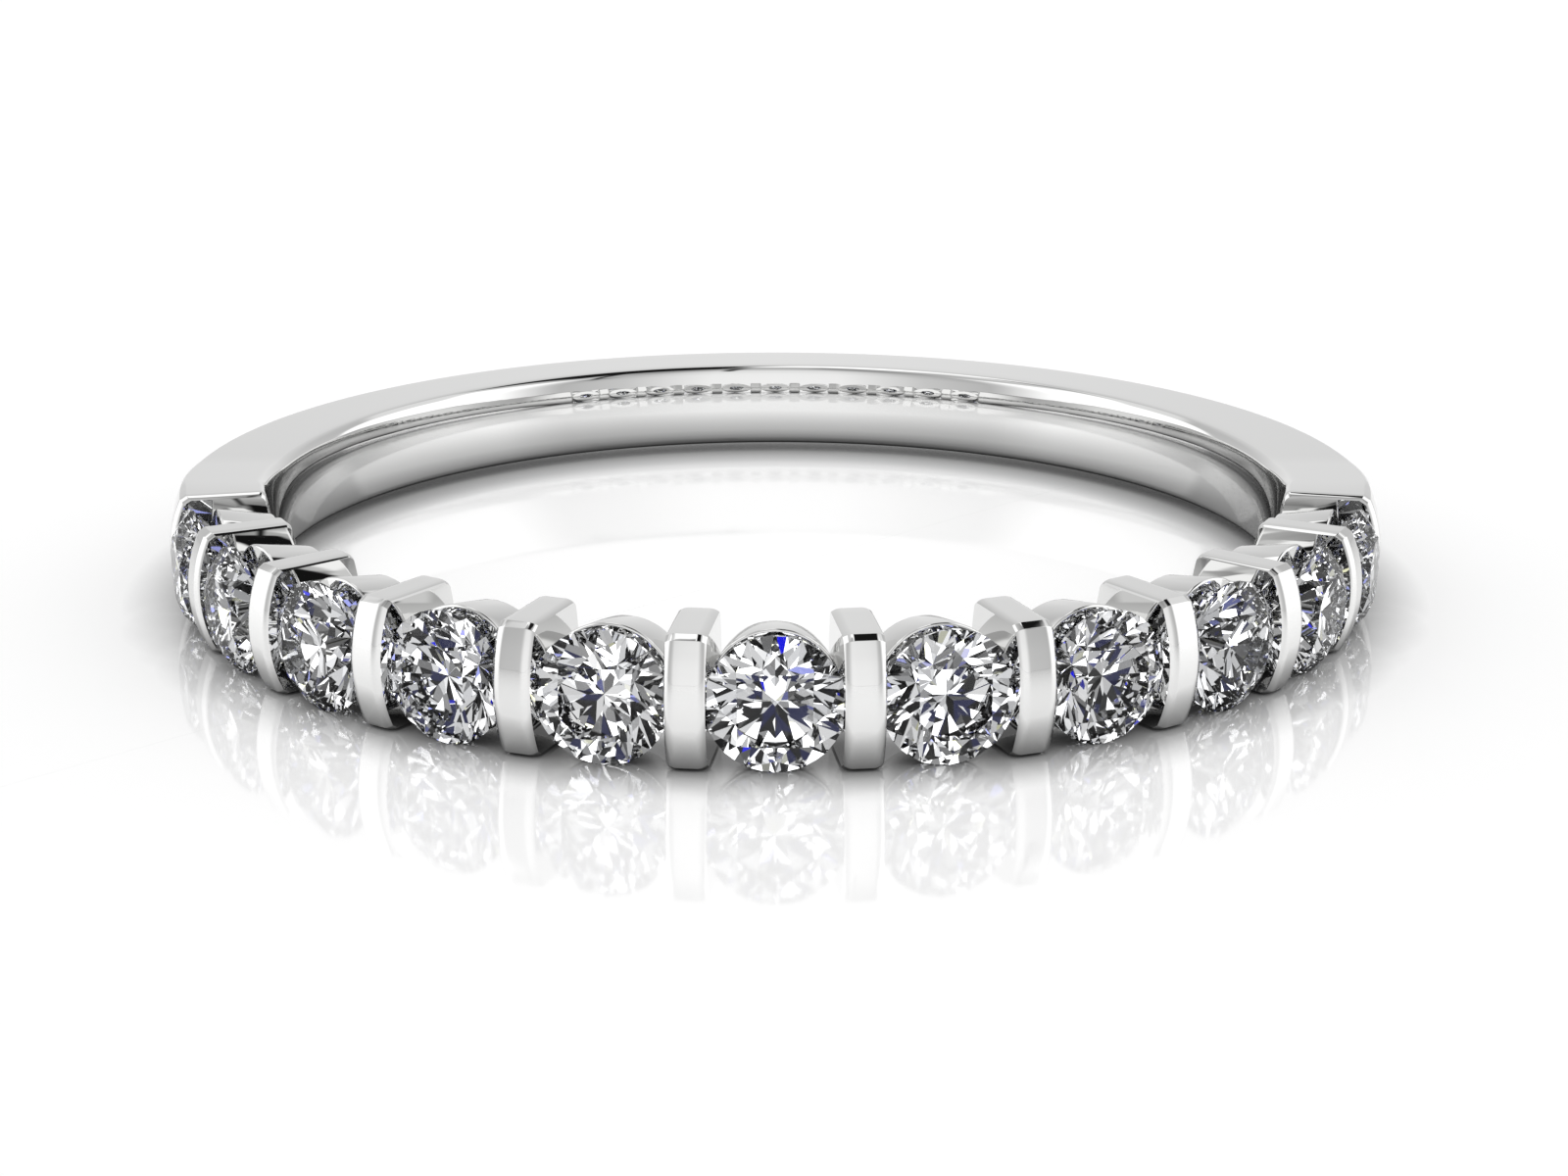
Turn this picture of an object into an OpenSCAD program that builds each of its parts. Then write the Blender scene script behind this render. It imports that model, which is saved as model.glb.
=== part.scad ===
// Half eternity ring: a white metal band whose head is a row of cross bars that share round
// brilliant stones between them, with a cone-shaped cup behind each stone.
// Millimetres. The finger's axis is +Z, the band lies on z = 0 and its head faces -Y.

/* [Finger hole] */
// Diameter of the finger hole at its narrowest, half way across the band
hole_d = 17.3; // [16.8:0.1:18]
// Radius of the comfort curve across the inside of the band
comfort_r = 4; // [3:0.1:8]

/* [Band] */
// Width of the head along the finger, which is also the height of the bars
head_w = 2; // [2:0.02:2.4]
// Width of the shank along the finger, behind the shoulders
shank_w = 1.66; // [1.4:0.02:1.9]
// Radial thickness of the band, half way across it
band_t = 1.73; // [1.65:0.01:2]
// Radius of the dome across the outside of the band
dome_r = 2.1; // [1.6:0.1:4]
// How far before the finger's axis each shoulder begins to narrow
shoulder_front = 1.9; // [1:0.1:2.2]
// How far behind the finger's axis each shoulder reaches the width of the shank
shoulder_back = 0.6; // [0:0.1:4]
// Rounding of the shank's two inner edges
inner_round = 0.2; // [0.05:0.05:0.3]
// Rounding of the shank's two outer edges
outer_round = 0.1; // [0.05:0.05:0.2]

/* [Head] */
// Number of stones, with one bar more than that
stone_count = 11; // [7:2:11]
// Angle between neighbouring stones, seen along the finger
stone_step = 13.94; // [13.8:0.02:14.4]
// Thickness of a bar
bar_t = 0.58; // [0.5:0.02:0.7]
// Chamfer where a bar's domed outer end meets its flat sides
bar_chamfer = 0.04; // [0.02:0.01:0.15]

/* [Cups] */
// Diameter of a cup's rim, towards the stone
cup_rim_d = 1.92; // [1.7:0.02:1.94]
// Diameter of a cup's foot, at the finger hole
cup_foot_d = 1.62; // [1.4:0.02:1.7]
// Diameter of the light hole through a cup
cup_hole_d = 0.7; // [0.4:0.05:0.9]
// Depth of a cup's rim below the stone's girdle
cup_rim_depth = 0.37; // [0.2:0.01:0.45]

/* [Stones] */
// Diameter of a stone at its girdle
stone_d = 1.99; // [1.9:0.01:1.99]
// Distance of the girdle's outer edge from the finger's axis
girdle_r = 10.08; // [9.9:0.01:10.1]
// Diameter of the table, as a share of the stone's diameter
table_share = 0.57; // [0.5:0.01:0.65]
// Thickness of the girdle, as a share of the stone's diameter
girdle_share = 0.03; // [0.02:0.005:0.05]
// Slope of the bezel facets
crown_angle = 34.5; // [30:0.5:38]
// Slope of the pavilion main facets
pavilion_angle = 40.8; // [39:0.2:43]
// Share of the way from the table's edge to the girdle that the star facets cover
star_share = 0.5; // [0.4:0.05:0.6]
// Share of the way from the girdle to the culet that the lower girdle facets cover
lower_share = 0.78; // [0.6:0.02:0.85]
// Clearance between a stone and the metal around it
stone_gap = 0.03; // [0.02:0.01:0.05]

/* [Hidden] */
METAL = [0.86, 0.87, 0.88];
STONE = [0.9, 0.94, 1];
hole_r = hole_d / 2;
tip_r = hole_r + band_t;
stone_r = stone_d / 2;
mid_z = head_w / 2;
// How far each face of the shank lies inside the head's face
shank_step = (head_w - shank_w) / 2;
shoulder_rise = shank_step / (shoulder_front + shoulder_back);
shoulder_angle = atan(shoulder_rise);
// Angle of the outermost bars from the middle of the head
last_bar = stone_step * stone_count / 2;
// How far a rounding's circle stands past the faces that it joins
round_short = 0.01;
// How far cutting shapes reach past what they cut
reach = 2;
far = tip_r + reach;
girdle_t = girdle_share * stone_d;
// Radius of the edge between the dome and the head's flat faces
dome_edge_r = tip_r - dome_r + sqrt(dome_r ^ 2 - mid_z ^ 2);
$fn = 128;

function two_digits(i) = i < 10 ? str("0", i) : str(i);
function stone_name(i) = str("stone_", two_digits(i));
function stone_turn(i) = stone_step * (i - (stone_count + 1) / 2);
function bar_turn(i) = stone_step * (i - 1) - last_bar;

// Section of the head, from the finger hole outwards: comfort curve, flat faces, dome, chamfers
module head_section() {
    intersection() {
        polygon([
            [hole_r - reach, 0],
            [dome_edge_r - bar_chamfer, 0],
            [dome_edge_r - bar_chamfer + mid_z, mid_z],
            [dome_edge_r - bar_chamfer, head_w],
            [hole_r - reach, head_w],
        ]);
        translate([tip_r - dome_r, mid_z]) circle(dome_r);
        translate([hole_r + comfort_r, mid_z]) circle(comfort_r);
    }
}

// The whole band as one ring of the head's section
module blank() {
    rotate_extrude($fn = 256) head_section();
}

// What rounds one edge of the shank, turned about the finger's axis, between the shank's flat
// face and the arc of radius arc_r about arc_x: the comfort curve for the inner edge (side -1)
// and the dome for the outer edge (side 1). The rounding meets both a little short of tangent.
module edge_cutter(arc_x, arc_r, round_r, side) {
    inset = round_r - round_short;
    drop = shank_w / 2 - inset;
    across = side * sqrt((arc_r - inset) ^ 2 - drop ^ 2);
    centre = [arc_x + across, mid_z + drop];
    way = [across, drop] / (arc_r - inset);
    rotate_extrude($fn = 256) difference() {
        polygon([
            centre,
            centre + [0, reach / 2],
            centre + [side * reach, reach / 2],
            centre + way * reach,
        ]);
        translate(centre) circle(round_r);
    }
}

module both_edge_cutters() {
    edge_cutter(hole_r + comfort_r, comfort_r, inner_round, -1);
    edge_cutter(tip_r - dome_r, dome_r, outer_round, 1);
}

// The cutters along the level part of the shank, and tilted to follow the shoulder's slope
module upper_edge_cutters() {
    intersection() {
        both_edge_cutters();
        translate([-far, shoulder_back, -reach]) cube([2 * far, far, head_w + 2 * reach]);
    }
    translate([0, shoulder_back, head_w - shank_step])
        rotate([-shoulder_angle, 0, 0])
            translate([0, -shoulder_back, shank_step - head_w])
                intersection() {
                    both_edge_cutters();
                    translate([-far, shoulder_back - far, -reach])
                        cube([2 * far, far, head_w + 2 * reach]);
                }
}

// Seen from the side, the shank's faces slope inwards over the shoulders and then run level
module shank_side() {
    ahead = 4;
    past = shoulder_rise * (ahead - shoulder_front);
    rotate([90, 0, 90]) linear_extrude(height = 2 * far, center = true) polygon([
        [-ahead, -past],
        [shoulder_back, shank_step],
        [far, shank_step],
        [far, head_w - shank_step],
        [shoulder_back, head_w - shank_step],
        [-ahead, head_w + past],
    ]);
}

// Seen along the finger, the shank is what lies behind the middle of the two end bars
module shank_plan() {
    edge = far * [sin(last_bar), -cos(last_bar)];
    translate([0, 0, -reach]) linear_extrude(height = head_w + 2 * reach)
        polygon([[0, 0], edge, [far, far], [-far, far], [-edge[0], edge[1]]]);
}

// The space of the shank, with its sloping faces and rounded edges
module shank() {
    difference() {
        intersection() {
            shank_plan();
            shank_side();
        }
        upper_edge_cutters();
        translate([0, 0, head_w]) mirror([0, 0, 1]) upper_edge_cutters();
    }
}

// The space of one bar, at the middle of the head
module bar() {
    translate([-bar_t / 2, -far, -reach])
        cube([bar_t, far - hole_r + reach / 2, head_w + 2 * reach]);
}

// A shape drawn about +Z is laid along a stone's axis, with z = 0 at the girdle's outer edge
module along_stone(turn) {
    rotate([0, 0, turn]) translate([0, -girdle_r, mid_z]) rotate([90, 0, 0]) children();
}

// The outside of one cup, a cone that narrows towards the finger
module cup() {
    rim_z = -girdle_t - cup_rim_depth;
    foot_z = hole_r - girdle_r;
    spread = (cup_rim_d - cup_foot_d) / (rim_z - foot_z) / 2;
    over = reach / 4;
    translate([0, 0, foot_z - over]) cylinder(
        h = rim_z - foot_z + over,
        r1 = cup_foot_d / 2 - spread * over,
        r2 = cup_rim_d / 2,
        $fn = 96
    );
}

// The room that a stone and its light hole take from the metal: grooves in both bars, the
// seat in the cup and the hole behind it
module stone_room() {
    room_r = stone_r + stone_gap;
    hole_side = cup_hole_d / 2;
    seat_slope = tan(pavilion_angle);
    rotate_extrude($fn = 96) polygon([
        [0, hole_r - girdle_r - reach],
        [hole_side, hole_r - girdle_r - reach],
        [hole_side, -girdle_t - (room_r - hole_side) * seat_slope],
        [room_r, -girdle_t],
        [room_r, 0],
        [0, room_r * tan(crown_angle)],
    ]);
}

// The band is one piece of metal: the shank, the bars and the cups, cut for the stones
module band() {
    color(METAL) difference() {
        intersection() {
            blank();
            union() {
                shank();
                for (i = [1:stone_count + 1]) rotate([0, 0, bar_turn(i)]) bar();
                for (i = [1:stone_count]) along_stone(stone_turn(i)) cup();
            }
        }
        for (i = [1:stone_count]) along_stone(stone_turn(i)) stone_room();
    }
}

// Facets of a round brilliant, about +Z with the girdle's outer edge at z = 0.
// The girdle has four corners to each of the eight sides of the table.
SIDES = 8;
CORNERS = 4 * SIDES;
crown_rise = (1 - table_share) * tan(crown_angle);
pavilion_drop = tan(pavilion_angle);
table_flat = table_share * cos(180 / SIDES);
star_r = table_flat + star_share * (1 - table_flat);
lower_r = 1 - lower_share;

function around(r, angle, z) = [r * cos(angle), r * sin(angle), z];
// Height of the bezel and main facets' planes at a radius, half way between two of them
function bezel_z(r) = crown_rise - (r * cos(180 / SIDES) - table_share) * tan(crown_angle);
function main_z(r) = -2 * girdle_share - (1 - r * cos(180 / SIDES)) * pavilion_drop;
// Height at p of the plane through a, b and c
function plane_z(a, b, c, p) =
    let (n = cross(b - a, c - a)) a[2] - (n[0] * (p[0] - a[0]) + n[1] * (p[1] - a[1])) / n[2];
// A girdle corner near level z. Every second corner lies on the facet that runs from its two
// neighbours to the point at apex_r and apex_z, which four corners share.
function girdle_corner(j, z, apex_r, apex_z) = let (
    step = 360 / CORNERS,
    p = around(1, step * j, z),
    before = around(1, step * (j - 1), z),
    after = around(1, step * (j + 1), z),
    apex = around(apex_r, step * (4 * floor(j / 4) + 2), apex_z)
) j % 2 == 0 ? p : [p[0], p[1], plane_z(before, after, apex, p)];

module stone_at_origin() {
    step = 360 / SIDES;
    table = [for (i = [0:SIDES - 1]) around(table_share, step * i, crown_rise)];
    stars = [for (i = [0:SIDES - 1]) around(star_r, step * (i + 0.5), bezel_z(star_r))];
    upper = [for (j = [0:CORNERS - 1]) girdle_corner(j, 0, star_r, bezel_z(star_r))];
    under = [for (j = [0:CORNERS - 1])
        girdle_corner(j, -2 * girdle_share, lower_r, main_z(lower_r))];
    lower = [for (i = [0:SIDES - 1]) around(lower_r, step * (i + 0.5), main_z(lower_r))];
    culet = [[0, 0, -2 * girdle_share - pavilion_drop]];
    // Where each group starts in the list of points
    s = SIDES;
    u = 2 * SIDES;
    g = u + CORNERS;
    l = g + CORNERS;
    c = l + SIDES;
    polyhedron(
        points = stone_r * concat(table, stars, upper, under, lower, culet),
        faces = concat(
            [[for (i = [SIDES - 1:-1:0]) i]],
            [for (i = [0:SIDES - 1]) [i, (i + 1) % SIDES, s + i]],
            [for (i = [0:SIDES - 1]) [i, s + i, u + 4 * i, s + (i + SIDES - 1) % SIDES]],
            [for (i = [0:SIDES - 1], k = [0, 2]) [
                s + i,
                u + (4 * i + k + 2) % CORNERS,
                u + 4 * i + k + 1,
                u + 4 * i + k,
            ]],
            [for (j = [0:CORNERS - 1]) [
                u + j,
                u + (j + 1) % CORNERS,
                g + (j + 1) % CORNERS,
                g + j,
            ]],
            [for (i = [0:SIDES - 1], k = [0, 2]) [
                l + i,
                g + 4 * i + k,
                g + 4 * i + k + 1,
                g + (4 * i + k + 2) % CORNERS,
            ]],
            [for (i = [0:SIDES - 1]) [c, l + (i + SIDES - 1) % SIDES, g + 4 * i, l + i]]
        )
    );
}

// One stone in its place along the head, counted from the left end. It is turned about its own
// axis so that two edges of its table lie level.
module stone(i) {
    color(STONE) along_stone(stone_turn(i)) rotate([0, 0, 180 / SIDES]) stone_at_origin();
}

band();
for (i = [1:stone_count]) {
    stone(i);
}
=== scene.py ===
"""A half eternity ring of polished white metal, lying on its side on a pale floor.

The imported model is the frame. Its stones stay as they are and are given their finish here. Its band
is stood for by a finer one of the same sizes, with every edge rounded as a polisher leaves it.
Sizes are millimetres and degrees, and a finished mesh is scaled to metres.
"""

import logging
import math
from collections.abc import Callable, Sequence
from dataclasses import dataclass
from enum import Enum

import bmesh
import bpy
import numpy as np
from bpy.types import Camera, Material, Mesh, Node, NodeSocket as Socket, Object, World
from mathutils import Matrix, Vector


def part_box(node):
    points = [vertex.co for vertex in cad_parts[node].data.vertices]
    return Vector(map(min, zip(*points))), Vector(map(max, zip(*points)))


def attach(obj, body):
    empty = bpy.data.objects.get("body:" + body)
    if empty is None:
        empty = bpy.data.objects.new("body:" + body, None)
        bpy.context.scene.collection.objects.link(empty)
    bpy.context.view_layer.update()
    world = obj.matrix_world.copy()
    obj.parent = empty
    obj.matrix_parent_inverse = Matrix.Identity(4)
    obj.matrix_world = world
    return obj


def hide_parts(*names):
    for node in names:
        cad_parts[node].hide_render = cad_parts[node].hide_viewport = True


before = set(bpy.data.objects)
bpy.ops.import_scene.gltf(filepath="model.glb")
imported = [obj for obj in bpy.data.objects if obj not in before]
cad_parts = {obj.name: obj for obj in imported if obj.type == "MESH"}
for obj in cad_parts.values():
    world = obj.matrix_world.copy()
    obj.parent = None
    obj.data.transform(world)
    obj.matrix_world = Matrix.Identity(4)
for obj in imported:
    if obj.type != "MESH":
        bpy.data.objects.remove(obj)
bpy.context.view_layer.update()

log = logging.getLogger("ring")

MM = 0.001

Pair = tuple[float, float]
Triple = tuple[float, float, float]
Colour = tuple[float, float, float, float]
Inputs = dict[str, object] | dict[int, object]


def grey(value: float) -> Colour:
    """An opaque grey of that linear value."""
    return (value, value, value, 1.0)


def report(piece: Object) -> None:
    """Logs a piece's name and how many faces it has."""
    log.info("%s: %d faces", piece.name, len(piece.data.polygons))


# Sizes


@dataclass(frozen=True)
class RingSizes:
    """The ring's sizes, in millimetres and degrees, as its solid model has them.

    The first six are read from the frame; the others are the maker's own.
    """

    tip_r: float
    width: float
    stone_count: int
    stone_step: float
    stone_d: float
    girdle_r: float
    hole_r: float = 8.65
    comfort_r: float = 4.0
    dome_r: float = 2.1
    shank_width: float = 1.66
    shoulder_front: float = 1.9
    shoulder_back: float = 0.6
    bar_t: float = 0.58
    cup_rim_d: float = 1.92
    cup_foot_d: float = 1.62
    cup_hole_d: float = 0.7
    cup_rim_depth: float = 0.37
    girdle_t: float = 0.06
    table_share: float = 0.57
    crown_angle: float = 34.5
    pavilion_angle: float = 40.8
    stone_gap: float = 0.03

    @classmethod
    def from_frame(cls, stones: Sequence[str]) -> "RingSizes":
        """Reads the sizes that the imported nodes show.

        Args:
            stones: The stones' nodes, in order along the head.

        Returns:
            The ring's sizes.
        """
        low, high = (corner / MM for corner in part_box("band"))
        turns = [turn_of(node_centre(name)) for name in stones]
        middle_low, middle_high = (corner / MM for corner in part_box(stones[len(stones) // 2]))
        stone_d = middle_high.x - middle_low.x
        crown_h = (1 - cls.table_share) * stone_d / 2 * math.tan(math.radians(cls.crown_angle))
        return cls(
            tip_r=high.x,
            width=high.z - low.z,
            stone_count=len(stones),
            stone_step=(turns[-1] - turns[0]) / (len(stones) - 1),
            stone_d=stone_d,
            girdle_r=-middle_low.y - crown_h,
        )

    @property
    def mid_z(self) -> float:
        """Height of the middle of the band."""
        return self.width / 2

    @property
    def last_bar(self) -> float:
        """Turn of the two end bars from the middle of the head."""
        return self.stone_step * self.stone_count / 2

    @property
    def cup_rim_r(self) -> float:
        """Distance of a cup's rim from the finger's axis."""
        return self.girdle_r - self.girdle_t - self.cup_rim_depth

    @property
    def room_r(self) -> float:
        """Radius of the room that a stone takes, at its girdle."""
        return self.stone_d / 2 + self.stone_gap

    def face_z(self, y: float) -> float:
        """Height of the band's upper face, which slopes down over the shoulders.

        Args:
            y: How far behind the finger's axis the point lies.

        Returns:
            The face's height there.
        """
        step = (self.width - self.shank_width) / 2
        rise = step / (self.shoulder_front + self.shoulder_back)
        drop = soft_ramp(y + self.shoulder_front) - soft_ramp(y - self.shoulder_back)
        return self.width - rise * drop


def soft_ramp(t: float, half: float = 0.3) -> float:
    """A ramp that rises from 0 with a smooth turn.

    Args:
        t: How far past the foot of the ramp the point lies.
        half: Half the width of the turn.

    Returns:
        The ramp's height: 0 before the turn, and t after it.
    """
    if abs(t) < half:
        return (t + half) ** 2 / (4 * half)
    return max(t, 0.0)


def turn_of(point: Vector) -> float:
    """Angle of a point round the finger from the front of the head, towards +X, in degrees."""
    return math.degrees(math.atan2(point.x, -point.y))


def node_centre(name: str) -> Vector:
    """The mean of a CAD node's vertices, which for a stone lies on its own axis.

    Args:
        name: The node's name.

    Returns:
        The mean point, in metres.
    """
    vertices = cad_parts[name].data.vertices
    return sum((vertex.co for vertex in vertices), Vector()) / len(vertices)


# Meshes


def spread(start: float, end: float, steps: int) -> list[float]:
    """Values from start to end at even steps."""
    return np.linspace(start, end, steps + 1).tolist()


def on_circle(centre: Pair, radius: float, angle: float) -> Pair:
    """The point of a circle that lies in a direction, given in degrees."""
    lean = math.radians(angle)
    return centre[0] + radius * math.cos(lean), centre[1] + radius * math.sin(lean)


def round_axis(out: float, steps: int) -> list[Pair]:
    """Points all round a stone's axis, as their sideways distance and height from it."""
    angles = spread(0, 2 * math.pi, steps)[:-1]
    return [(out * math.cos(angle), out * math.sin(angle)) for angle in angles]


def mesh_from_rings(name: str, rings: Sequence[Sequence[Triple]]) -> Mesh:
    """Joins closed rings of equal length into a skin and closes it with a flat face at each end.

    Args:
        name: The mesh's name.
        rings: The rings, in order, in millimetres.

    Returns:
        A closed mesh whose faces point outwards.
    """
    built = bmesh.new()
    rows = [[built.verts.new(point) for point in ring] for ring in rings]
    for near, off in zip(rows, rows[1:]):
        for i, vertex in enumerate(near):
            after = (i + 1) % len(near)
            built.faces.new((vertex, near[after], off[after], off[i]))
    built.faces.new(rows[0])
    built.faces.new(list(reversed(rows[-1])))
    bmesh.ops.recalc_face_normals(built, faces=built.faces)
    mesh = bpy.data.meshes.new(name)
    built.to_mesh(mesh)
    built.free()
    return mesh


def add_object(data: Mesh | Camera, material: Material | None = None) -> Object:
    """Puts a mesh or a camera into the scene, at the origin and under its own name.

    Args:
        data: The mesh or camera.
        material: The mesh's material, unless it gets it later.

    Returns:
        Its object.
    """
    made = bpy.data.objects.new(data.name, data)
    bpy.context.scene.collection.objects.link(made)
    if material:
        data.materials.append(material)
    return made


def settle(made: Object) -> None:
    """Turns what an object's modifiers make into its own plain mesh.

    Args:
        made: The object, which has no modifiers afterwards.
    """
    graph = bpy.context.evaluated_depsgraph_get()
    graph.update()
    plain = bpy.data.meshes.new_from_object(made.evaluated_get(graph))
    made.modifiers.clear()
    spare, made.data = made.data, plain
    plain.name = made.name
    bpy.data.meshes.remove(spare)


class Fuse(Enum):
    """How one closed solid meets another."""

    JOIN = "UNION"
    CUT = "DIFFERENCE"


def fuse(body: Object, tool: Object, how: Fuse) -> None:
    """Joins a tool to a body or cuts it away, and removes the tool.

    Args:
        body: The object that keeps the result.
        tool: The object that is used up.
        how: Whether it is joined or cut.
    """
    modifier = body.modifiers.new(how.name.lower(), "BOOLEAN")
    modifier.operation = how.value
    modifier.solver = "MANIFOLD"
    modifier.object = tool
    settle(body)
    spare = tool.data
    bpy.data.objects.remove(tool)
    bpy.data.meshes.remove(spare)


def arc(centre: Pair, radius: float, start: float, end: float, steps: int) -> list[Triple]:
    """Points along an arc in a section's plane.

    Args:
        centre: The arc's centre, as distance from the finger's axis and height.
        radius: The arc's radius.
        start: The first angle, in degrees from straight outwards.
        end: The last angle.
        steps: The number of steps between them.

    Returns:
        Each point's distance, height and the angle that it faces.
    """
    angles = spread(start, end, steps)
    return [(*on_circle(centre, radius, angle), angle) for angle in angles]


@dataclass(frozen=True)
class Edge:
    """A worked edge: a narrow bevel whose two borders are rounded off.

    The size is the radius of a full rounding between the same two lines of touch, and soft is the
    radius at the borders.
    """

    size: float
    soft: float

    def points(self, centre: Pair, start: float, end: float, steps: int) -> list[Triple]:
        """The edge's points from one face to the other.

        Args:
            centre: Centre of the full rounding.
            start: The first face's direction, in degrees.
            end: The second face's direction.
            steps: The number of steps round each border.

        Returns:
            Each point's place and the angle that it faces.
        """
        middle = (start + end) / 2
        near, far = (on_circle(centre, self.size - self.soft, angle) for angle in (start, end))
        return [
            *arc(near, self.soft, start, middle, steps),
            *arc(far, self.soft, middle, end, steps),
        ]

    def towards(self, other: "Edge", share: float) -> "Edge":
        """The edge part of the way to another one."""
        size, soft = other.size - self.size, other.soft - self.soft
        return Edge(self.size + size * share, self.soft + soft * share)


@dataclass(frozen=True)
class Inset:
    """How far a section is drawn in at the finger, at its level faces and at the dome."""

    inner: float = 0.0
    face: float = 0.0
    outer: float = 0.0

    def share(self, part: float) -> "Inset":
        """That part of the inset."""
        return Inset(self.inner * part, self.face * part, self.outer * part)


@dataclass(frozen=True)
class EdgePair:
    """The worked edges of a section, at the finger and at the dome."""

    inner: Edge
    outer: Edge

    def towards(self, other: "EdgePair", share: float) -> "EdgePair":
        """The pair part of the way to another one."""
        return EdgePair(self.inner.towards(other.inner, share), self.outer.towards(other.outer, share))


class NodeRow:
    """A Geometry Nodes tree that repeats one piece in a row about the finger's axis."""

    def __init__(self) -> None:
        """Builds the tree with its named inputs."""
        self.tree = bpy.data.node_groups.new("row about the finger", "GeometryNodeTree")
        face = self.tree.interface
        self.inputs: dict[str, str] = {}
        for name, kind in (
            ("Piece", "Geometry"),
            ("Count", "Int"),
            ("First", "Float"),
            ("Step", "Float"),
            ("Material", "Material"),
        ):
            made = face.new_socket(name, in_out="INPUT", socket_type=f"NodeSocket{kind}")
            self.inputs[name] = made.identifier
        face.new_socket("Row", in_out="OUTPUT", socket_type="NodeSocketGeometry")
        self._wire()

    def _wire(self) -> None:
        """Places one turned instance of the piece for each step and makes them one mesh."""
        add = self.tree.nodes.new
        link = self.tree.links.new
        given, result = add("NodeGroupInput"), add("NodeGroupOutput")
        points, copies = add("GeometryNodePoints"), add("GeometryNodeInstanceOnPoints")
        index, turn = add("GeometryNodeInputIndex"), add("ShaderNodeMath")
        turn.operation = "MULTIPLY_ADD"
        axis = add("ShaderNodeCombineXYZ")
        solid, dress = add("GeometryNodeRealizeInstances"), add("GeometryNodeSetMaterial")
        link(given.outputs["Count"], points.inputs["Count"])
        link(points.outputs[0], copies.inputs["Points"])
        link(given.outputs["Piece"], copies.inputs["Instance"])
        link(index.outputs[0], turn.inputs[0])
        link(given.outputs["Step"], turn.inputs[1])
        link(given.outputs["First"], turn.inputs[2])
        link(turn.outputs[0], axis.inputs["Z"])
        link(axis.outputs[0], copies.inputs["Rotation"])
        link(copies.outputs[0], solid.inputs[0])
        link(solid.outputs[0], dress.inputs["Geometry"])
        link(given.outputs["Material"], dress.inputs["Material"])
        link(dress.outputs[0], result.inputs[0])

    def repeat(self, piece: Object, count: int, first: float, step: float, metal: Material) -> None:
        """Turns a piece at the middle of the head into a row of it.

        Args:
            piece: The object that holds the piece, and then the whole row.
            count: How many there are.
            first: The first one's turn, in degrees.
            step: The turn from one to the next, in degrees.
            metal: The material of the row.
        """
        modifier = piece.modifiers.new("row", "NODES")
        modifier.node_group = self.tree
        modifier[self.inputs["Count"]] = count
        modifier[self.inputs["First"]] = math.radians(first)
        modifier[self.inputs["Step"]] = math.radians(step)
        modifier[self.inputs["Material"]] = metal
        settle(piece)


# The band's section and the places where it stands


@dataclass(frozen=True)
class Station:
    """A plane that the band's section stands in, upright and at an offset from the finger's axis."""

    turn: float
    offset: float = 0.0

    def place(self, r: float) -> Pair:
        """Where a point of the section comes to lie.

        Args:
            r: The point's distance from the finger's axis.

        Returns:
            Its x and y.
        """
        angle = math.radians(self.turn)
        along = math.sqrt(r * r - self.offset * self.offset)
        return (
            along * math.sin(angle) + self.offset * math.cos(angle),
            -along * math.cos(angle) + self.offset * math.sin(angle),
        )


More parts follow.
